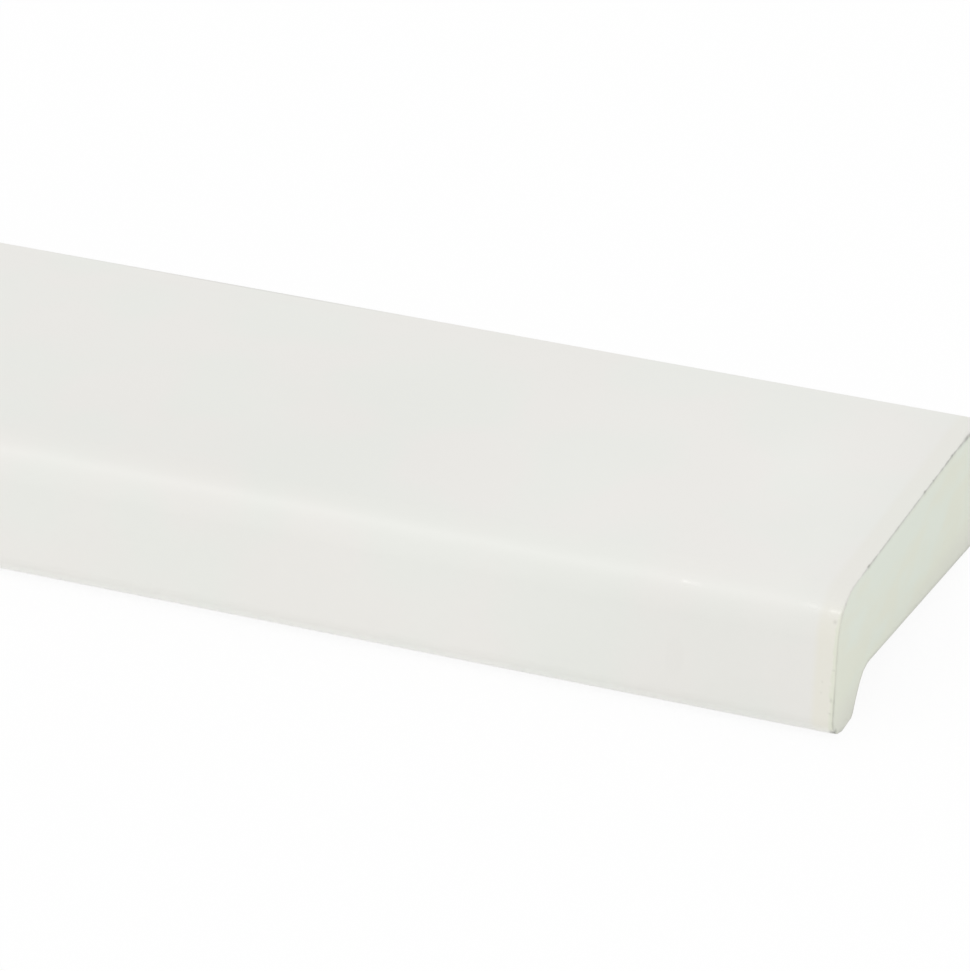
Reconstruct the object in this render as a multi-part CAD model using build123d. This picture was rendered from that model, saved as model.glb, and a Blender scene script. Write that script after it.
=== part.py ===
from build123d import *

import os
from math import asin, atan, degrees, hypot, radians, tan

# Bottom glazing bead with a drip nose, planed from one length of timber and sold primed.
# It lies along X as stock lies on a bench: on the heel of its lip and on its back bottom edge.
# The origin is at the middle of the space it takes up on the bench, at bench level.
# Lengths are in millimetres, angles in degrees.

# The stock
LENGTH = 2700.0
WIDTH = 56.0          # front of the nose to the back face

# The body, which beds on the sill with its back face to the glass
BACK_HEIGHT = 18.0    # underside to top, at the back face
TOP_FALL = 5.0        # slope of the top, down to the nose, that sheds the rain
BACK_ROUND = 1.0      # eased edges at the top and bottom of the back face

# The nose and the drip lip that hangs in front of the sill
NOSE_ROUND = 6.0      # round between the top and the front face
LIP_DROP = 5.5        # how far the lip hangs below the underside
LIP_FOOT = 7.4        # thickness of the lip at its foot, before its edges are rounded
LIP_FLARE = 32.0      # lean of the lip's back face from upright, so that the lip thickens upwards
LIP_ROUND = 3.0       # rounds at the front and at the heel of the foot
COVE_ROUND = 2.0      # hollow between the lip and the underside


def bead_section():
    """The section as it sits on a sill: Y runs from the front face to the back, Z up from the lip's foot."""
    lip_root = LIP_FOOT + LIP_DROP * tan(radians(LIP_FLARE))
    top_at_back = LIP_DROP + BACK_HEIGHT
    top_at_front = top_at_back - WIDTH * tan(radians(TOP_FALL))

    foot_front = (0.0, 0.0)
    foot_heel = (LIP_FOOT, 0.0)
    cove = (lip_root, LIP_DROP)
    back_bottom = (WIDTH, LIP_DROP)
    back_top = (WIDTH, top_at_back)
    nose = (0.0, top_at_front)
    rounds = {
        foot_front: LIP_ROUND,
        foot_heel: LIP_ROUND,
        cove: COVE_ROUND,
        back_bottom: BACK_ROUND,
        back_top: BACK_ROUND,
        nose: NOSE_ROUND,
    }

    section = make_face(Polyline(*rounds, close=True))
    for corner, radius in rounds.items():
        rounded_corner = section.vertices().sort_by_distance(corner)[0]
        section = fillet(rounded_corner, radius)
    return section


def lie_down_angle():
    """How far the bead rolls back, from the way it sits on a sill until its back bottom edge meets the bench."""
    heel_turn = 90.0 - LIP_FLARE
    heel_centre_y = LIP_FOOT - LIP_ROUND * tan(radians(heel_turn / 2))
    run = WIDTH - BACK_ROUND - heel_centre_y
    rise = LIP_DROP + BACK_ROUND - LIP_ROUND
    return degrees(atan(rise / run) + asin((LIP_ROUND - BACK_ROUND) / hypot(run, rise)))


def glazing_bead():
    """The whole length of bead, lying on the bench."""
    stock = extrude(Plane.YZ * bead_section(), LENGTH)
    lying = Rot(X=-lie_down_angle()) * stock
    space = lying.bounding_box()
    return Pos(-space.center().X, -space.center().Y, -space.min.Z) * lying


os.makedirs("parts", exist_ok=True)
bead = glazing_bead()
bead.label = "glazing_bead"
export_step(bead, "parts/glazing_bead.step")
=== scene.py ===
"""Looks of a primed timber glazing bead with a drip nose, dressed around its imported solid."""

import logging
import math
from dataclasses import dataclass, field
from enum import Enum
from typing import Any, Mapping, Sequence

import bmesh
import bpy
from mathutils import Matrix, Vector


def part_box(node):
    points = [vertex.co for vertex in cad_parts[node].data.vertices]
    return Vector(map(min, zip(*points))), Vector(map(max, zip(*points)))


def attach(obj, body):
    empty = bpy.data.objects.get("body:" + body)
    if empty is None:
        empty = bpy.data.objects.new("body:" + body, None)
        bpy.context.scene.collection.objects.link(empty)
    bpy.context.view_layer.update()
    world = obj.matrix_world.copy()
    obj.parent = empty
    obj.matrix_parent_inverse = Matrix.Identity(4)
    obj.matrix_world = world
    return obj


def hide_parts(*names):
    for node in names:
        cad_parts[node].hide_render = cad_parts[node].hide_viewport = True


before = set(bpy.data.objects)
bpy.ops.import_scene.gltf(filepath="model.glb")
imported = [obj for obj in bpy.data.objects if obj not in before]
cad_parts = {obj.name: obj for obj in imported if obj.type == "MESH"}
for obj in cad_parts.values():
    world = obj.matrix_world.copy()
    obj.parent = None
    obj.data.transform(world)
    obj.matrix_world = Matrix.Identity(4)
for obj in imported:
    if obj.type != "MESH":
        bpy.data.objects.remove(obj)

MM = 0.001
NODE = "glazing_bead"
BODY = "root"

MATH = "ShaderNodeMath"
VECTOR = "ShaderNodeVectorMath"
RANGE = "ShaderNodeMapRange"
NOISE = "ShaderNodeTexNoise"
MIX = "ShaderNodeMix"
WHITE = (1.0, 1.0, 1.0, 1.0)
PAINT_IOR = 1.5

log = logging.getLogger("bead")

Point = tuple[float, float]
Place = tuple[float, float, float]
Colour = tuple[float, float, float, float]


def linear(hex_colour: str) -> Colour:
    """Turns an sRGB hex colour into the linear colour that a shader reads.

    Args:
        hex_colour: six hex digits, such as "e8e8e4".

    Returns:
        The linear red, green and blue, with an alpha of 1.
    """
    channels = [int(hex_colour[start:start + 2], 16) / 255 for start in (0, 2, 4)]
    red, green, blue = (c / 12.92 if c <= 0.04045 else ((c + 0.055) / 1.055) ** 2.4 for c in channels)
    return (red, green, blue, 1.0)


def add(tree: bpy.types.NodeTree, kind: str, sources: Mapping[Any, Any] | None = None,
        **settings: Any) -> bpy.types.Node:
    """Adds a node with its settings, its values and its links.

    Args:
        tree: the node tree that gets the node.
        kind: the node's type, such as "ShaderNodeMath".
        sources: for each input, by name or number, a socket, a node's first output, or a value.
        settings: the node's own settings, such as operation="ADD".

    Returns:
        The new node.
    """
    node = tree.nodes.new(kind)
    for name, value in settings.items():
        setattr(node, name, value)
    for socket, source in (sources or {}).items():
        if isinstance(source, bpy.types.Node):
            source = source.outputs[0]
        if isinstance(source, bpy.types.NodeSocket):
            tree.links.new(source, node.inputs[socket])
        else:
            node.inputs[socket].default_value = source
    return node


@dataclass(frozen=True)
class Section:
    """The bead's section in millimetres: Y runs from the front face to the back, Z up from the lip's foot."""

    width: float = 56.0
    back_height: float = 18.0
    top_fall: float = 5.0
    back_round: float = 1.0
    nose_round: float = 6.0
    lip_drop: float = 5.5
    lip_foot: float = 7.4
    lip_flare: float = 32.0
    lip_round: float = 3.0
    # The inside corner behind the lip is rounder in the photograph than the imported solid's 2 mm.
    cove_round: float = 5.5
    top_step: float = 0.24
    front_step: float = 0.15
    plain_step: float = 0.65
    round_step: float = 0.15

    def corners(self) -> list[tuple[Point, float, float]]:
        """Gives the sharp corners in order, anticlockwise.

        Returns:
            For each corner its place, the radius of its round, and the step along the flat that follows it.
        """
        lip_root = self.lip_foot + self.lip_drop * math.tan(math.radians(self.lip_flare))
        top_at_back = self.lip_drop + self.back_height
        top_at_front = top_at_back - self.width * math.tan(math.radians(self.top_fall))
        return [
            ((0.0, 0.0), self.lip_round, self.front_step),
            ((self.lip_foot, 0.0), self.lip_round, self.plain_step),
            ((lip_root, self.lip_drop), self.cove_round, self.plain_step),
            ((self.width, self.lip_drop), self.back_round, self.plain_step),
            ((self.width, top_at_back), self.back_round, self.top_step),
            ((0.0, top_at_front), self.nose_round, self.front_step),
        ]

    def roll_back(self) -> float:
        """Gives the angle, in radians, that the bead rolls back to rest on its back bottom edge."""
        heel_turn = math.radians(90.0 - self.lip_flare)
        heel_centre = self.lip_foot - self.lip_round * math.tan(heel_turn / 2)
        run = self.width - self.back_round - heel_centre
        rise = self.lip_drop + self.back_round - self.lip_round
        return math.atan(rise / run) + math.asin((self.lip_round - self.back_round) / math.hypot(run, rise))

    def outline(self) -> list[Point]:
        """Walks round the rounded section as it lies on the floor, in steps fine enough for its chips.

        Returns:
            The points in metres, anticlockwise seen from the bead's right end.
        """
        corners = self.corners()
        arcs = []
        for number, (place, radius, _) in enumerate(corners):
            corner = Vector(place)
            before = (Vector(corners[number - 1][0]) - corner).normalized()
            after = (Vector(corners[(number + 1) % len(corners)][0]) - corner).normalized()
            half = before.angle(after) / 2
            centre = corner + (before + after).normalized() * (radius / math.sin(half))
            first = corner + before * (radius / math.tan(half)) - centre
            last = corner + after * (radius / math.tan(half)) - centre
            turn = first.angle_signed(last)
            steps = max(4, round(abs(turn) * radius / self.round_step))
            start = math.atan2(first.y, first.x)
            angles = [start - turn * step / steps for step in range(steps + 1)]
            arcs.append([centre + Vector((math.cos(angle), math.sin(angle))) * radius for angle in angles])

        upright = []
        for number, arc in enumerate(arcs):
            upright.extend(arc)
            start, end = arc[-1], arcs[(number + 1) % len(arcs)][0]
            steps = max(1, round((end - start).length / corners[number][2]))
            upright.extend(start.lerp(end, step / steps) for step in range(1, steps))

        roll = self.roll_back()
        lying = [(p.x * math.cos(roll) + p.y * math.sin(roll), p.y * math.cos(roll) - p.x * math.sin(roll))
                 for p in upright]
        middle_y = (min(p[0] for p in lying) + max(p[0] for p in lying)) / 2
        floor_z = min(p[1] for p in lying)
        return [((y - middle_y) * MM, (z - floor_z) * MM) for y, z in lying]


@dataclass(frozen=True)
class Effect:
    """What a kind of mark does to the film: a push in or out, and how bare, glossy or light it gets."""

    push: float = 0.0
    bare: float = 0.0
    gloss: float = 0.0
    tone: float = 0.0


class Mark(Enum):
    """The kinds of small mark on the bead."""

    CHIP = Effect(push=-1.0, bare=1.0)
    NICK = Effect(push=-1.0, bare=0.8)
    DINT = Effect(push=-1.0, bare=0.24)
    NIB = Effect(push=1.0, bare=0.14)
    FAT_EDGE = Effect(push=1.0)
    RUN = Effect(push=1.0, gloss=1.6)
    SAG = Effect(push=1.0, gloss=0.8)
    RUB = Effect(bare=0.34)
    DULL_PATCH = Effect(tone=-0.38)
    # A painted sheen: a lighter patch that stands in for light on the satin top.
    PAINTED_SHEEN_PATCH = Effect(tone=0.16)


@dataclass(frozen=True)
class Blemish:
    """One mark near the right end, in millimetres: its place, its reach along and across, and its depth."""

    name: str
    mark: Mark
    from_end: float
    y: float
    z: float
    along: float
    across: float
    depth: float = 0.0


@dataclass(frozen=True)
class PrimerCoat:
    """Alkyd primer sprayed on planed softwood."""

    name: str = "alkyd_primer_sprayed"
    deep: str = "e4e4df"
    light: str = "f2f1ed"
    blush: str = "eeeae6"
    sage: str = "e7ece5"
    tint: float = 0.26
    tint_mm: float = 15.0
    warm_end: str = "e6e4da"
    # Painted light: a white laid on the downward faces to lift the shade under the lip.
    underlight_white: str = "f8f8f4"
    lapped: str = "e0e2d3"
    # Grey of bare timber at worn edges; along the end's lower edge it is painted shade.
    bare: str = "8d8e86"
    roughness: float = 0.36
    run_roughness: float = 0.21
    peel_mm: float = 1.6
    peel_height_mm: float = 0.010
    ripple_mm: float = 12.0
    ripple_height_mm: float = 0.26

    def make(self) -> bpy.types.Material:
        """Builds the primer's material.

        Returns:
            The material, which reads Object coordinates and the piece's own attributes.
        """
        # Sprayed primer gives the eye an even off-white satin: a hardly visible mottle of rosier and greener
        # whites, a fine orange peel, and slow ripples that make the light on the nose wander. The faces that
        # look down under the lip are painted whiter, a painted light against their shade. Where it is bare at
        # an edge, grey timber shows, and along the lower edge of the end the same grey is painted shade.
        material = bpy.data.materials.new(self.name)
        material.use_nodes = True
        tree = material.node_tree
        tree.nodes.clear()
        place = add(tree, "ShaderNodeTexCoord").outputs["Object"]
        tone, warm, pool, lap, wear, gloss = (
            add(tree, "ShaderNodeAttribute", attribute_name=name).outputs["Fac"]
            for name in ("tone", "warm", "pool", "lap", "wear", "gloss"))

        patches = add(tree, NOISE, {"Vector": place, "Scale": 1 / (self.tint_mm * MM), "Detail": 1.0})
        patches = add(tree, RANGE, {"Value": patches, "From Min": 0.4, "From Max": 0.6})
        tinted = add(tree, MIX, {0: patches, 6: linear(self.blush), 7: linear(self.sage)}, data_type="RGBA")
        colour = add(tree, MIX, {0: tone, 6: linear(self.deep), 7: linear(self.light)}, data_type="RGBA")
        colour = add(tree, MIX, {0: self.tint, 6: colour.outputs[2], 7: tinted.outputs[2]}, data_type="RGBA")
        layers = ((warm, self.warm_end), (pool, self.underlight_white), (lap, self.lapped), (wear, self.bare))
        for share, over in layers:
            colour = add(tree, MIX, {0: share, 6: colour.outputs[2], 7: linear(over)}, data_type="RGBA")
        # A run of primer levels itself as it dries, so it is smooth and glossy. The ripples and the peel
        # end at it.
        roughness = add(tree, RANGE, {"Value": gloss, "To Min": self.roughness, "To Max": self.run_roughness})
        rippled = add(tree, RANGE, {"Value": gloss, "To Min": 1.0, "To Max": 0.0})

        ripple = add(tree, NOISE, {"Vector": place, "Scale": 1 / (self.ripple_mm * MM), "Detail": 1.0})
        slow = add(tree, "ShaderNodeBump", {"Strength": rippled, "Height": ripple,
                                            "Distance": self.ripple_height_mm * MM})
        peel = add(tree, NOISE, {"Vector": place, "Scale": 1 / (self.peel_mm * MM), "Detail": 2.0})
        fine = add(tree, "ShaderNodeBump", {"Strength": rippled, "Height": peel,
                                            "Distance": self.peel_height_mm * MM, "Normal": slow})
        shader = add(tree, "ShaderNodeBsdfPrincipled",
                     {"Base Color": colour.outputs[2], "Roughness": roughness, "IOR": PAINT_IOR,
                      "Normal": fine})
        add(tree, "ShaderNodeOutputMaterial", {"Surface": shader})
        return material


@dataclass(frozen=True)
class EndSeal:
    """End-grain sealer brushed on the sawn ends."""

    name: str = "end_grain_sealer_brushed"
    mint: str = "e2e8dc"
    olive: str = "e3e6d7"
    lip: str = "dfe0d5"
    # Grey of a worn edge; along the lower border of the end it is painted shade.
    edge: str = "a9aca2"
    roughness: float = 0.55
    blotch_mm: float = 4.0
    saw_mm: float = 0.9
    saw_height_mm: float = 0.015

    def make(self) -> bpy.types.Material:
        """Builds the sealed end's material.

        Returns:
            The material, which reads Object coordinates and the piece's own wear.
        """
        # A thin sealer on end grain gives the eye a dull greenish white, blotched where the grain drank it
        # and drawn out by the brush from front to back. It is minty towards the top, olive below and beside
        # the front face, and greyer on the lip. The saw's marks are drawn coarser than real, so they show.
        material = bpy.data.materials.new(self.name)
        material.use_nodes = True
        tree = material.node_tree
        tree.nodes.clear()
        place = add(tree, "ShaderNodeTexCoord").outputs["Object"]
        wear = add(tree, "ShaderNodeAttribute", attribute_name="wear").outputs["Fac"]

        drawn_out = add(tree, VECTOR, {0: place, 1: (1.0, 0.42, 1.0)}, operation="MULTIPLY")
        drunk = add(tree, NOISE, {"Vector": drawn_out, "Scale": 1 / (self.blotch_mm * MM), "Detail": 1.0})
        spot = add(tree, "ShaderNodeSeparateXYZ", {"Vector": place}).outputs
        upper = add(tree, RANGE, {"Value": spot["Z"], "From Min": 3.0 * MM, "From Max": 19.0 * MM,
                                  "To Min": -0.18, "To Max": 0.18})
        by_front = add(tree, RANGE, {"Value": spot["Y"], "From Min": -21.0 * MM, "From Max": -27.0 * MM,
                                     "To Min": 0.0, "To Max": -0.2})
        for change in (upper, by_front):
            drunk = add(tree, MATH, {0: drunk, 1: change}, operation="ADD")
        drunk = add(tree, RANGE, {"Value": drunk, "From Min": 0.32, "From Max": 0.7},
                    interpolation_type="SMOOTHSTEP")
        on_lip = add(tree, RANGE, {"Value": spot["Z"], "From Min": 5.5 * MM, "From Max": 1.0 * MM})
        colour = add(tree, MIX, {0: drunk, 6: linear(self.olive), 7: linear(self.mint)}, data_type="RGBA")
        for share, over in ((on_lip, self.lip), (wear, self.edge)):
            colour = add(tree, MIX, {0: share, 6: colour.outputs[2], 7: linear(over)}, data_type="RGBA")

        saw = add(tree, NOISE, {"Vector": place, "Scale": 1 / (self.saw_mm * MM), "Detail": 3.0})
        bump = add(tree, "ShaderNodeBump", {"Height": saw, "Distance": self.saw_height_mm * MM})
        shader = add(tree, "ShaderNodeBsdfPrincipled",
                     {"Base Color": colour.outputs[2], "Roughness": self.roughness, "IOR": PAINT_IOR,
                      "Normal": bump})
        add(tree, "ShaderNodeOutputMaterial", {"Surface": shader})
        return material


@dataclass(frozen=True)
class Spacing:
    """How far apart the rings are, up to a distance from the end, in millimetres.

    Each step is the last one times the growth, until it is the widest.
    """

    until: float
    growth: float
    widest: float


@dataclass(frozen=True)
class Surface:
    """The swept bead inside the node tree: its mesh, each point's place, its way out, and where it is."""

    mesh: bpy.types.NodeSocket
    base: bpy.types.Node
    out_y: bpy.types.NodeSocket
    out_z: bpy.types.Node
    side: bpy.types.Node
    from_end: bpy.types.Node
    over_end: bpy.types.Node


@dataclass
class GlazingBead:
    """The length of bead: its section swept along the stock, with a film, eased ends and small marks."""

    section: Section = field(default_factory=Section)
    length_mm: float = 2700.0
    film_mm: float = 0.04
    run_mm: float = 0.5
    stand_mm: float = 0.02
    wave_mm: float = 34.0
    arris_mm: float = 0.2
    dubbed_mm: float = 0.45
    wander_mm: float = 2.0
    lap_mm: float = 0.75
    rim_mm: float = 0.6
    seed: float = 4.0
    # Points nearer to an end than this are on its face.
    on_face_mm: float = 0.002
    first_step: float = 0.02
    left_spacing: Sequence[Spacing] = (Spacing(1350.0, 1.45, 90.0),)
    right_spacing: Sequence[Spacing] = (
        Spacing(2.4, 1.3, 0.12),
        Spacing(6.0, 1.2, 0.35),
        Spacing(24.0, 1.15, 0.55),
        Spacing(60.0, 1.2, 4.0),
        Spacing(1350.0, 1.2, 90.0),
    )
    blemishes: Sequence[Blemish] = (
        Blemish("foot corner", Mark.CHIP, 0.05, -27.9, 1.1, 1.00, 1.40, 0.12),
        Blemish("top arris, front", Mark.NICK, 0.0, -16.3, 18.88, 0.28, 1.05, 0.07),
        Blemish("top arris, second", Mark.RUB, 0.0, -13.0, 18.8, 0.20, 0.45),
        Blemish("top arris, middle", Mark.NICK, 0.0, 5.7, 18.35, 0.28, 0.80, 0.06),
        Blemish("top arris, fourth", Mark.NICK, 0.0, 9.1, 18.26, 0.22, 0.55, 0.04),
        Blemish("top arris, fifth", Mark.NICK, 0.0, 16.8, 18.08, 0.28, 1.05, 0.06),
        Blemish("top arris, back", Mark.NICK, 0.0, 22.9, 17.94, 0.24, 2.20, 0.06),
        Blemish("nose corner", Mark.RUB, 0.0, -25.1, 18.0, 0.24, 0.50),
        Blemish("under the nose", Mark.DINT, 0.75, -26.89, 16.20, 0.42, 0.42, 0.05),
        Blemish("front, upper", Mark.NIB, 1.70, -28.37, 8.38, 0.26, 0.26, 0.045),
        Blemish("front, lower", Mark.NIB, 1.75, -28.53, 6.92, 0.24, 0.24, 0.030),
        Blemish("lap, upper", Mark.DINT, 0.22, -28.17, 10.15, 0.50, 0.18, 0.03),
        Blemish("lap, middle", Mark.DINT, 0.40, -28.62, 6.11, 0.34, 0.50, 0.015),
        Blemish("lap, lower", Mark.DINT, 0.45, -28.82, 4.34, 0.40, 0.20, 0.02),
        Blemish("below the nose, at the end", Mark.FAT_EDGE, 0.3, -26.56, 16.67, 4.2, 1.90, 0.055),
        Blemish("nose, at the end", Mark.RUN, 0.85, -26.14, 17.16, 1.50, 1.20, 0.006),
        Blemish("nose, near the end", Mark.SAG, 3.9, -25.95, 17.35, 2.10, 1.50, 0.012),
        Blemish("nose, further in", Mark.RUN, 20.5, -25.98, 17.32, 0.85, 0.95, 0.014),
        Blemish("nose, beside it", Mark.SAG, 19.2, -26.10, 17.20, 1.20, 0.90, 0.010),
        Blemish("far edge", Mark.RUB, 103.0, 28.3, 17.7, 36.0, 0.60),
        Blemish("front, by the foot", Mark.DULL_PATCH, 9.0, -28.7, 4.6, 9.0, 3.2),
        Blemish("front, streak", Mark.DULL_PATCH, 21.0, -28.5, 8.0, 1.6, 3.5),
        # Painted sheen on the top, not a paler coat.
        Blemish("top, towards the back", Mark.PAINTED_SHEEN_PATCH, 17.0, 6.0, 18.3, 9.0, 22.0),
    )

    def stations(self) -> list[float]:
        """Places the rings along the stock, close together at the ends, and on over the end faces.

        Returns:
            Each ring's place along X, in metres. Those past an end fold in over its face as a rim.
        """
        half = self.length_mm / 2
        ends = []
        for spacings in (self.left_spacing, self.right_spacing):
            distances = [-self.rim_mm * share for share in (1.0, 0.5, 0.25, 0.1, 0.0)]
            step = self.first_step
            for spacing in spacings:
                while distances[-1] + step < min(spacing.until, half):
                    distances.append(distances[-1] + step)
                    step = min(step * spacing.growth, spacing.widest)
            ends.append(distances)
        left, right = ends
        return [(d - half) * MM for d in left] + [0.0] + [(half - d) * MM for d in reversed(right)]

    def curve(self, name: str, points: Sequence[Place], closed: bool) -> bpy.types.Object:
        """Makes a helper curve of straight runs.

        Args:
            name: the helper's name.
            points: the places it goes through, in metres.
            closed: whether it comes back to its start.

        Returns:
            The curve's object, which is deleted when the bead has been swept.
        """
        data = bpy.data.curves.new(name, "CURVE")
        data.dimensions = "3D"
        run = data.splines.new("POLY")
        run.points.add(len(points) - 1)
        for point, place in zip(run.points, points):
            point.co = (*place, 1.0)
        run.use_cyclic_u = closed
        helper = bpy.data.objects.new(name, data)
        bpy.context.scene.collection.objects.link(helper)
        return helper

    def sweep(self, tree: bpy.types.NodeTree, given: bpy.types.NodeOutputs) -> Surface:
        """Sweeps the section along the run. Each ring and each point of the section keeps its own place.

        Args:
            tree: the node tree.
            given: the tree's inputs.

        Returns:
            The swept surface, whose points are then set from those places.
        """
        here = add(tree, "GeometryNodeInputPosition")
        along = add(tree, "GeometryNodeCaptureAttribute", {"Geometry": given["Geometry"]})
        along.capture_items.new("VECTOR", "Along")
        tree.links.new(here.outputs[0], along.inputs["Along"])
        shape = add(tree, "GeometryNodeObjectInfo", {"Object": given["Section"]})
        around = add(tree, "GeometryNodeCaptureAttribute", {"Geometry": shape.outputs["Geometry"]})
        around.capture_items.new("VECTOR", "Around")
        around.capture_items.new("VECTOR", "Tangent")
        tree.links.new(here.outputs[0], around.inputs["Around"])
        tree.links.new(add(tree, "GeometryNodeInputTangent").outputs[0], around.inputs["Tangent"])
        swept = add(tree, "GeometryNodeCurveToMesh",
                    {"Curve": along.outputs["Geometry"], "Profile Curve": around.outputs["Geometry"],
                     "Fill Caps": True})

        x = add(tree, "ShaderNodeSeparateXYZ", {0: along.outputs["Along"]}).outputs["X"]
        point = add(tree, "ShaderNodeSeparateXYZ", {0: around.outputs["Around"]}).outputs
        tangent = add(tree, "ShaderNodeSeparateXYZ", {0: around.outputs["Tangent"]}).outputs
        out_z = add(tree, MATH, {0: tangent["X"], 1: -1.0}, operation="MULTIPLY")
        half = add(tree, MATH, {0: given["Length"], 1: 0.5}, operation="MULTIPLY")
        side = add(tree, MATH, {0: x}, operation="SIGN")
        reach = add(tree, MATH, {0: x}, operation="ABSOLUTE")
        from_end = add(tree, MATH, {0: half, 1: reach}, operation="SUBTRACT")
        past = add(tree, MATH, {0: reach, 1: half}, operation="SUBTRACT")
        over_end = add(tree, MATH, {0: past, 1: 0.0}, operation="MAXIMUM")
        flush = add(tree, MATH, {0: reach, 1: half}, operation="MINIMUM")
        flush_x = add(tree, MATH, {0: flush, 1: side}, operation="MULTIPLY")
        base = add(tree, "ShaderNodeCombineXYZ", {"X": flush_x, "Y": point["X"], "Z": point["Y"]})
        return Surface(swept.outputs[0], base, tangent["Y"], out_z, side, from_end, over_end)

    def finish_surface(self, tree: bpy.types.NodeTree, given: bpy.types.NodeOutputs,
                       bead: Surface) -> bpy.types.NodeSocket:
        """Gives the swept surface its paint film, its eased and worn ends and its marks.

        Args:
            tree: the node tree.
            given: the tree's inputs.
            bead: the swept surface.

        Returns:
            The mesh, with the attributes that the finishes read.
        """
        noises = []
        for number, (size, stretch) in enumerate(((given["Wave"], 0.4), (given["Wander"], 1.0),
                                                  (given["Lap"], 0.6), (given["Wave"], 0.7))):
            spread = add(tree, VECTOR, {0: bead.base, 1: (stretch, 1.0, 1.0)}, operation="MULTIPLY")
            scale = add(tree, MATH, {0: 1.0, 1: size}, operation="DIVIDE")
            seed = add(tree, MATH, {0: given["Seed"], 1: 3.0 * number}, operation="ADD")
            lumps = add(tree, NOISE, {"Vector": spread, "W": seed, "Scale": scale, "Detail": 2.0},
                        noise_dimensions="4D")
            noises.append(add(tree, RANGE, {"Value": lumps, "From Min": 0.28, "From Max": 0.72,
                                            "To Min": -1.0, "To Max": 1.0}))
        wave, wander, ragged, mottle = noises

        facing_front = add(tree, MATH, {0: bead.out_y, 1: -1.0}, operation="MULTIPLY")
        front = add(tree, RANGE, {"Value": facing_front, "From Min": 0.55, "From Max": 0.95})
        top = add(tree, RANGE, {"Value": bead.out_z, "From Min": 0.85, "From Max": 0.99})
        facing_down = add(tree, MATH, {0: bead.out_z, 1: -1.0}, operation="MULTIPLY")
        under = add(tree, RANGE, {"Value": facing_down, "From Min": 0.2, "From Max": 0.6})

        # The film is set just inside the planed size, and swells and thins slowly along the stock. It ran
        # down the back of the lip as it dried, and is thickest on the heel that the lip stands on.
        swell = add(tree, MATH, {0: given["Film"], 1: 0.4}, operation="MULTIPLY")
        push = add(tree, MATH, {0: wave, 1: swell}, operation="MULTIPLY")
        spot = add(tree, "ShaderNodeSeparateXYZ", {0: bead.base}).outputs
        behind_lip = add(tree, RANGE, {"Value": spot["Y"], "From Min": -17.2 * MM, "From Max": -19.4 * MM})
        past_foot = add(tree, RANGE, {"Value": spot["Y"], "From Min": -26.4 * MM, "From Max": -24.4 * MM})
        gathered = add(tree, RANGE, {"Value": spot["Z"], "From Min": 1.3 * MM, "From Max": 0.6 * MM,
                                     "To Min": 0.62, "To Max": 1.0})
        ran_down = under
        for share in (behind_lip, past_foot, gathered):
            ran_down = add(tree, MATH, {0: ran_down, 1: share}, operation="MULTIPLY")
        push = add(tree, MATH, {0: ran_down, 1: given["Run"], 2: push}, operation="MULTIPLY_ADD")

        # The sealer on the end laps round onto the front face, with a ragged border a hair thicker.
        lap_reach = add(tree, RANGE, {"Value": ragged, "From Min": -1.0, "To Min": 0.45, "To Max": 1.25})
        lap_reach = add(tree, MATH, {0: lap_reach, 1: given["Lap"]}, operation="MULTIPLY")
        lap_inner = add(tree, MATH, {0: lap_reach, 1: 0.6}, operation="MULTIPLY")
        lapped = add(tree, RANGE, {"Value": bead.from_end, "From Min": lap_reach, "From Max": lap_inner})
        lap = add(tree, MATH, {0: lapped, 1: front}, operation="MULTIPLY")
        lap_height = add(tree, MATH, {0: given["Film"], 1: 0.5}, operation="MULTIPLY")
        push = add(tree, MATH, {0: lap, 1: lap_height, 2: push}, operation="MULTIPLY_ADD")

        # The arris round each end is eased by hand, so unevenly, less along the top and least of all
        # underneath. Towards the back corner the top is dubbed off.
        uneven = add(tree, RANGE, {"Value": under, "To Min": 0.22, "To Max": 0.15})
        mean = add(tree, RANGE, {"Value": top, "To Min": 1.0, "To Max": 0.64})
        mean = add(tree, MATH, {0: under, 1: -0.5, 2: mean}, operation="MULTIPLY_ADD")
        arris = add(tree, MATH, {0: wander, 1: uneven, 2: mean}, operation="MULTIPLY_ADD")
        arris = add(tree, MATH, {0: arris, 1: given["Arris"]}, operation="MULTIPLY")
        dubbed = add(tree, RANGE, {"Value": spot["Y"], "From Min": 18.0 * MM, "From Max": 24.5 * MM})
        dubbed = add(tree, MATH, {0: dubbed, 1: top}, operation="MULTIPLY")
        radius = add(tree, MATH, {0: dubbed, 1: given["Dubbed"], 2: arris}, operation="MULTIPLY_ADD")
        gap = add(tree, MATH, {0: radius, 1: bead.from_end}, operation="SUBTRACT")
        gap = add(tree, MATH, {0: gap, 1: 0.0}, operation="MAXIMUM")
        gap = add(tree, MATH, {0: gap, 1: radius}, operation="MINIMUM")
        square = add(tree, MATH, {0: radius, 1: radius}, operation="MULTIPLY")
        gap_square = add(tree, MATH, {0: gap, 1: gap}, operation="MULTIPLY")
        rest = add(tree, MATH, {0: square, 1: gap_square}, operation="SUBTRACT")
        height = add(tree, MATH, {0: rest}, operation="SQRT")
        eased = add(tree, MATH, {0: radius, 1: height}, operation="SUBTRACT")
        for inward in (given["Film"], eased, bead.over_end):
            push = add(tree, MATH, {0: push, 1: inward}, operation="SUBTRACT")
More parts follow.
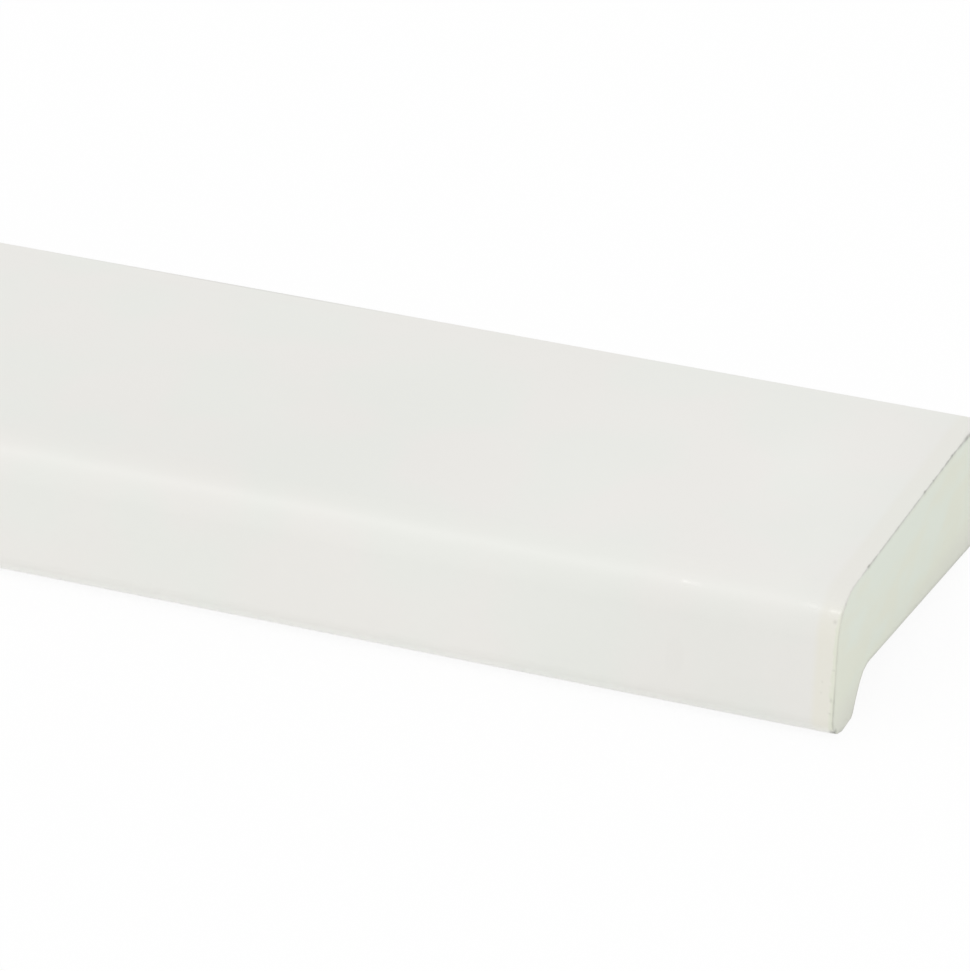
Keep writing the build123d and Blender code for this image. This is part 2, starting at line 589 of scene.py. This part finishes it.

        # Paint is missing along the arris: in broken lengths above and below, most towards the back, and
        # hardly at all round the nose and down to the lip. On the end face that fades quickly from the edge
        # inwards. Along the arris that faces down, and on the end face's lower border, a wider, fainter grey
        # band is painted shade.
        outer = add(tree, MATH, {0: arris, 1: 1.1}, operation="MULTIPLY")
        inner = add(tree, MATH, {0: arris, 1: 0.3}, operation="MULTIPLY")
        on_arris = add(tree, RANGE, {"Value": bead.from_end, "From Min": outer, "From Max": inner})
        fade = add(tree, RANGE, {"Value": bead.over_end, "From Min": given["Rim"], "From Max": 0.0})
        on_rim = add(tree, MATH, {0: fade, 1: 3.0}, operation="POWER")
        worn = add(tree, RANGE, {"Value": wander, "From Min": -0.8, "From Max": 0.9, "To Min": 0.34,
                                 "To Max": 0.58})
        worn = add(tree, MATH, {0: ragged, 1: 0.14, 2: worn}, operation="MULTIPLY_ADD")
        at_back = add(tree, RANGE, {"Value": spot["Y"], "From Min": 6.0 * MM, "From Max": 26.0 * MM,
                                    "To Min": 0.92, "To Max": 1.4})
        at_front = add(tree, RANGE, {"Value": spot["Z"], "From Min": 9.0 * MM, "From Max": 5.0 * MM,
                                     "To Min": 0.3, "To Max": 0.72})
        by_nose = add(tree, RANGE, {"Value": spot["Y"], "From Min": -17.0 * MM, "From Max": -19.5 * MM})
        bared = add(tree, MIX, {0: by_nose, 2: at_back, 3: at_front})
        # Painted shade: a grey band along the downward-facing arris and the end face's lower border.
        painted_shade_and_chip = add(tree, MATH, {0: under, 1: 0.34}, operation="MULTIPLY")
        for share in (bared, on_arris):
            worn = add(tree, MATH, {0: worn, 1: share}, operation="MULTIPLY")
        for share in (fade, on_arris):
            painted_shade_and_chip = add(tree, MATH, {0: painted_shade_and_chip, 1: share}, operation="MULTIPLY")

        # Towards the end the top is painted a little lighter, a painted sheen, and the front a little darker,
        # painted shade. In its last few millimetres the coat is thin, and the timber warms it. Faces that
        # look down under the lip are painted whiter, a painted light against the shade there.
        thin = add(tree, RANGE, {"Value": bead.from_end, "From Min": 9.0 * MM, "From Max": 0.5 * MM},
                   interpolation_type="SMOOTHSTEP")
        painted_top_sheen = add(tree, RANGE, {"Value": bead.from_end, "From Min": 75.0 * MM, "From Max": 35.0 * MM},
                      interpolation_type="SMOOTHSTEP")
        painted_front_shade = add(tree, RANGE, {"Value": bead.from_end, "From Min": 60.0 * MM, "From Max": 8.0 * MM},
                     interpolation_type="SMOOTHSTEP")
        painted_top_sheen = add(tree, MATH, {0: painted_top_sheen, 1: top}, operation="MULTIPLY")
        painted_front_shade = add(tree, MATH, {0: painted_front_shade, 1: front}, operation="MULTIPLY")
        tone = add(tree, MATH, {0: mottle, 1: 0.1, 2: 0.45}, operation="MULTIPLY_ADD")
        # Painted light and shade: the top lighter and the front darker towards the end.
        for share, change in ((painted_top_sheen, 0.14), (painted_front_shade, -0.42), (thin, -0.22)):
            tone = add(tree, MATH, {0: share, 1: change, 2: tone}, operation="MULTIPLY_ADD")
        warm = add(tree, RANGE, {"Value": bead.from_end, "From Min": 3.4 * MM, "From Max": 2.2 * MM},
                   interpolation_type="SMOOTHSTEP")
        warmest = add(tree, RANGE, {"Value": front, "To Min": 0.35, "To Max": 1.0})
        warm = add(tree, MATH, {0: warm, 1: warmest}, operation="MULTIPLY")
        # Painted light on faces that look down, stronger further from the end, standing in for light under
        # the lip.
        underlight_reach = add(tree, RANGE, {"Value": bead.from_end, "From Min": 12.0 * MM, "From Max": 60.0 * MM,
                                  "To Min": 0.55, "To Max": 0.9})
        pool = add(tree, RANGE, {"Value": facing_down, "From Min": 0.25, "From Max": 0.75})
        pool = add(tree, MATH, {0: pool, 1: underlight_reach}, operation="MULTIPLY")

        gloss: Any = 0.0
        sink: Any = 0.0
        for blemish in self.blemishes:
            centre = Vector((self.length_mm / 2 - blemish.from_end, blemish.y, blemish.z)) * MM
            reaches = [1 / (size * MM) for size in (blemish.along, blemish.across, blemish.across)]
            away = add(tree, VECTOR, {0: bead.base, 1: centre}, operation="SUBTRACT")
            away = add(tree, VECTOR, {0: away, 1: reaches}, operation="MULTIPLY")
            away = add(tree, VECTOR, {0: away}, operation="LENGTH")
            near = add(tree, RANGE, {"Value": away.outputs["Value"], "From Min": 1.0, "From Max": 0.0},
                       interpolation_type="SMOOTHSTEP", label=blemish.name)
            effect = blemish.mark.value
            if effect.push:
                depth = effect.push * blemish.depth * MM
                push = add(tree, MATH, {0: near, 1: depth, 2: push}, operation="MULTIPLY_ADD")
            if effect.bare:
                rubbed = add(tree, MATH, {0: near, 1: effect.bare}, operation="MULTIPLY")
                worn = add(tree, MATH, {0: worn, 1: rubbed}, operation="MAXIMUM")
            # A chip bares the timber further in on the end face than wear does.
            if blemish.mark is Mark.CHIP:
                bitten = add(tree, MATH, {0: near, 1: fade}, operation="MULTIPLY")
                painted_shade_and_chip = add(tree, MATH, {0: painted_shade_and_chip, 1: bitten}, operation="MAXIMUM")
            if effect.gloss:
                glossy = add(tree, MATH, {0: near, 1: effect.gloss}, operation="MULTIPLY")
                gloss = add(tree, MATH, {0: gloss, 1: glossy}, operation="MAXIMUM")
            if effect.tone:
                tone = add(tree, MATH, {0: near, 1: effect.tone, 2: tone}, operation="MULTIPLY_ADD")
            if blemish.mark in (Mark.CHIP, Mark.NICK):
                sink = add(tree, MATH, {0: near, 1: blemish.depth * MM, 2: sink}, operation="MULTIPLY_ADD")

        worn = add(tree, MATH, {0: worn, 1: on_rim}, operation="MULTIPLY")
        # The painted shade band joins the wear here, so the wear attribute carries both.
        worn = add(tree, MATH, {0: worn, 1: painted_shade_and_chip}, operation="MAXIMUM")
        sink = add(tree, MATH, {0: sink, 1: on_rim}, operation="MULTIPLY")
        sink = add(tree, MATH, {0: sink, 1: -1.0}, operation="MULTIPLY")
        # The film under the heel and the back edge dried flat where the bead stood on the floor.
        set_z = add(tree, MATH, {0: bead.out_z, 1: push, 2: spot["Z"]}, operation="MULTIPLY_ADD")
        place = add(tree, "ShaderNodeCombineXYZ",
                    {"X": add(tree, MATH, {0: sink, 1: bead.side, 2: spot["X"]}, operation="MULTIPLY_ADD"),
                     "Y": add(tree, MATH, {0: bead.out_y, 1: push, 2: spot["Y"]}, operation="MULTIPLY_ADD"),
                     "Z": add(tree, MATH, {0: set_z, 1: given["Stand"]}, operation="MAXIMUM")})
        mesh = add(tree, "GeometryNodeSetPosition", {"Geometry": bead.mesh, "Position": place})
        for name, value in (("tone", tone), ("warm", warm), ("pool", pool), ("lap", lap), ("wear", worn),
                            ("gloss", gloss)):
            mesh = add(tree, "GeometryNodeStoreNamedAttribute",
                       {"Geometry": mesh, "Name": name, "Value": value}, data_type="FLOAT", domain="POINT")
        return mesh.outputs[0]

    def tree(self) -> bpy.types.NodeTree:
        """Builds the Geometry Nodes that make the whole bead.

        Returns:
            The node tree, with named inputs for its sizes.
        """
        tree = bpy.data.node_groups.new("sweep_bead", "GeometryNodeTree")
        sockets = tree.interface
        sockets.new_socket("Geometry", in_out="INPUT", socket_type="NodeSocketGeometry")
        sockets.new_socket("Section", in_out="INPUT", socket_type="NodeSocketObject")
        for name in ("Length", "Film", "Run", "Stand", "Wave", "Arris", "Dubbed", "Wander", "Lap", "Rim",
                     "Seed"):
            sockets.new_socket(name, in_out="INPUT", socket_type="NodeSocketFloat")
        for name in ("Long Faces", "Ends"):
            sockets.new_socket(name, in_out="INPUT", socket_type="NodeSocketMaterial")
        sockets.new_socket("Geometry", in_out="OUTPUT", socket_type="NodeSocketGeometry")
        given = add(tree, "NodeGroupInput").outputs

        bead = self.sweep(tree, given)
        mesh = self.finish_surface(tree, given, bead)
        on_end = add(tree, "FunctionNodeCompare", {"A": bead.from_end, "B": self.on_face_mm * MM},
                     operation="LESS_THAN", data_type="FLOAT")
        mesh = add(tree, "GeometryNodeSetShadeSmooth", {"Geometry": mesh, "Shade Smooth": True})
        mesh = add(tree, "GeometryNodeSetShadeSmooth",
                   {"Geometry": mesh, "Selection": on_end, "Shade Smooth": False})
        mesh = add(tree, "GeometryNodeRealizeInstances", {"Geometry": mesh})
        mesh = add(tree, "GeometryNodeSetMaterial", {"Geometry": mesh, "Material": given["Long Faces"]})
        mesh = add(tree, "GeometryNodeSetMaterial",
                   {"Geometry": mesh, "Selection": on_end, "Material": given["Ends"]})
        add(tree, "NodeGroupOutput", {"Geometry": mesh})
        return tree

    def build(self) -> bpy.types.Object:
        """Sweeps the bead, turns it into a plain mesh and sets it on its body.

        Returns:
            The finished bead.
        """
        path = self.curve("bead_run", [(x, 0.0, 0.0) for x in self.stations()], closed=False)
        shape = self.curve("bead_section", [(y, z, 0.0) for y, z in self.section.outline()], closed=True)
        tree = self.tree()
        values = {
            "Section": shape,
            "Length": self.length_mm * MM,
            "Film": self.film_mm * MM,
            "Run": self.run_mm * MM,
            "Stand": self.stand_mm * MM,
            "Wave": self.wave_mm * MM,
            "Arris": self.arris_mm * MM,
            "Dubbed": self.dubbed_mm * MM,
            "Wander": self.wander_mm * MM,
            "Lap": self.lap_mm * MM,
            "Rim": self.rim_mm * MM,
            "Seed": self.seed,
            "Long Faces": PrimerCoat().make(),
            "Ends": EndSeal().make(),
        }
        modifier = path.modifiers.new("sweep", "NODES")
        modifier.node_group = tree
        for item in tree.interface.items_tree:
            if item.in_out == "INPUT" and item.name in values:
                modifier[item.identifier] = values[item.name]

        bpy.context.view_layer.update()
        swept = path.evaluated_get(bpy.context.evaluated_depsgraph_get())
        mesh = bpy.data.meshes.new_from_object(swept)
        mesh.name = "glazing_bead_dressed"
        bead = bpy.data.objects.new("glazing_bead_dressed", mesh)
        bpy.context.scene.collection.objects.link(bead)
        path.modifiers.remove(modifier)
        for helper in (path, shape):
            bpy.data.objects.remove(helper)
        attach(bead, BODY)
        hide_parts(NODE)
        return bead


@dataclass(frozen=True)
class Lamp:
    """One distant lamp, so that the whole length of the bead is lit alike.

    It is as wide, in degrees, as a softbox looks from the bead, and level is the light that it adds on a face
    square to it, where the white surround gives 1.
    """

    name: str
    towards: Place
    width: float
    level: float
    distance: float = 4.0

    def hang(self) -> bpy.types.Object:
        """Hangs the lamp.

        Returns:
            The lamp's object.
        """
        light = bpy.data.lights.new(self.name, "SUN")
        light.angle = math.radians(self.width)
        light.energy = self.level * math.pi
        lamp = bpy.data.objects.new(self.name, light)
        lamp.location = Vector(self.towards) * self.distance
        lamp.rotation_euler = (-Vector(self.towards)).to_track_quat("-Z", "Y").to_euler()
        bpy.context.scene.collection.objects.link(lamp)
        return lamp


@dataclass(frozen=True)
class Studio:
    """The plain pale floor, the soft lamps and the white surround."""

    floor_half: float = 40.0
    floor_colour: str = "fefefe"
    floor_white: float = 0.92
    surround: float = 0.86
    lamps: Sequence[Lamp] = (
        Lamp("softbox_above_left", (-0.33, -0.43, 0.84), 42.0, 0.080),
        Lamp("bulb_in_the_softbox", (-0.33, -0.43, 0.84), 3.0, 0.025),
        Lamp("fill_in_front", (-0.25, -0.93, 0.26), 70.0, 0.042),
    )

    def lay_floor(self) -> bpy.types.Object:
        """Lays the floor: matt white paint, which the camera sees as white but for the bead's own shadow.

        Returns:
            The floor.
        """
        half = self.floor_half
        mesh = bpy.data.meshes.new("floor")
        mesh.from_pydata([(-half, -half, 0.0), (half, -half, 0.0), (half, half, 0.0), (-half, half, 0.0)], [],
                         [(0, 1, 2, 3)])
        floor = bpy.data.objects.new("floor", mesh)
        bpy.context.scene.collection.objects.link(floor)
        # Matt white paint throws soft light back under the lip. To the camera and in reflections it is white,
        # with only part of its own shading, so that the bead's shadow stays as a faint grey.
        material = bpy.data.materials.new("studio_floor_matt_paint")
        material.use_nodes = True
        tree = material.node_tree
        tree.nodes.clear()
        matt = add(tree, "ShaderNodeBsdfDiffuse", {"Color": linear(self.floor_colour)})
        white = add(tree, "ShaderNodeEmission", {"Color": WHITE, "Strength": 1.0})
        rays = add(tree, "ShaderNodeLightPath").outputs
        seen = add(tree, MATH, {0: rays["Is Camera Ray"], 1: rays["Is Glossy Ray"]}, operation="MAXIMUM")
        seen = add(tree, MATH, {0: seen, 1: rays["Is Transmission Ray"]}, operation="MAXIMUM")
        seen = add(tree, MATH, {0: seen, 1: self.floor_white}, operation="MULTIPLY")
        surface = add(tree, "ShaderNodeMixShader", {0: seen, 1: matt, 2: white})
        add(tree, "ShaderNodeOutputMaterial", {"Surface": surface})
        mesh.materials.append(material)
        return floor

    def surround_with_white(self) -> None:
        """Sets the world: an even soft light, and plain white to the camera and in reflections."""
        world = bpy.data.worlds.new("studio")
        bpy.context.scene.world = world
        world.use_nodes = True
        tree = world.node_tree
        tree.nodes.clear()
        rays = add(tree, "ShaderNodeLightPath").outputs
        seen = add(tree, MATH, {0: rays["Is Camera Ray"], 1: rays["Is Glossy Ray"]}, operation="MAXIMUM")
        seen = add(tree, MATH, {0: seen, 1: rays["Is Transmission Ray"]}, operation="MAXIMUM")
        soft = add(tree, "ShaderNodeBackground", {"Color": WHITE, "Strength": self.surround})
        white = add(tree, "ShaderNodeBackground", {"Color": WHITE, "Strength": 1.0})
        mixed = add(tree, "ShaderNodeMixShader", {0: seen, 1: soft, 2: white})
        add(tree, "ShaderNodeOutputWorld", {"Surface": mixed})

    def build(self) -> None:
        """Sets up the floor, the surround and the lamps."""
        self.lay_floor()
        self.surround_with_white()
        for lamp in self.lamps:
            lamp.hang()
        bpy.context.scene.view_settings.view_transform = "Standard"


@dataclass(frozen=True)
class PhotoCamera:
    """The camera, without roll, that took the photograph of the bead's right end. Pixels are in its frame."""

    frame_width: int = 970
    frame_height: int = 971
    sensor_mm: float = 36.0
    lens_mm: float = 230.96
    azimuth: float = 21.879
    elevation: float = 28.0835
    end_pixel: Point = (906.547, 638.304)
    end_depth: float = 0.790737
    nearest: float = 0.01
    farthest: float = 200.0

    def build(self, near_end: Vector) -> bpy.types.Object:
        """Places the camera so that the bead's right end shows where the photograph has it.

        Args:
            near_end: the middle of the right end, at floor level.

        Returns:
            The camera.
        """
        turn, tilt = math.radians(self.azimuth), math.radians(self.elevation)
        forward = Vector((-math.sin(turn) * math.cos(tilt), math.cos(turn) * math.cos(tilt), -math.sin(tilt)))
        right = Vector((math.cos(turn), math.sin(turn), 0.0))
        up = right.cross(forward)
        focal = self.lens_mm / self.sensor_mm * max(self.frame_width, self.frame_height)
        across = (self.end_pixel[0] - self.frame_width / 2) / focal * self.end_depth
        down = (self.end_pixel[1] - self.frame_height / 2) / focal * self.end_depth
        data = bpy.data.cameras.new("photo_camera")
        data.sensor_width = self.sensor_mm
        data.lens = self.lens_mm
        data.clip_start = self.nearest
        data.clip_end = self.farthest
        camera = bpy.data.objects.new("photo_camera", data)
        camera.location = near_end - right * across + up * down - forward * self.end_depth
        camera.rotation_euler = forward.to_track_quat("-Z", "Y").to_euler()
        bpy.context.scene.collection.objects.link(camera)
        bpy.context.scene.camera = camera
        return camera


def main() -> None:
    """Builds the bead, the studio and the camera."""
    logging.basicConfig(level=logging.INFO, format="%(name)s: %(message)s")
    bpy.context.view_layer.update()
    low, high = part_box(NODE)
    bead = GlazingBead(length_mm=(high.x - low.x) / MM).build()
    whole = bmesh.new()
    whole.from_mesh(bead.data)
    log.info("%s: %d triangles, %.0f cubic millimetres, %d open edges", bead.name,
             sum(len(face.verts) - 2 for face in whole.faces), whole.calc_volume(signed=True) / MM ** 3,
             sum(not edge.is_manifold for edge in whole.edges))
    whole.free()
    Studio().build()
    log.info("studio: floor, surround and lamps")
    camera = PhotoCamera().build(Vector((high.x, 0.0, 0.0)))
    log.info("camera: at %s", tuple(round(value, 4) for value in camera.location))


if __name__ == "__main__":
    main()
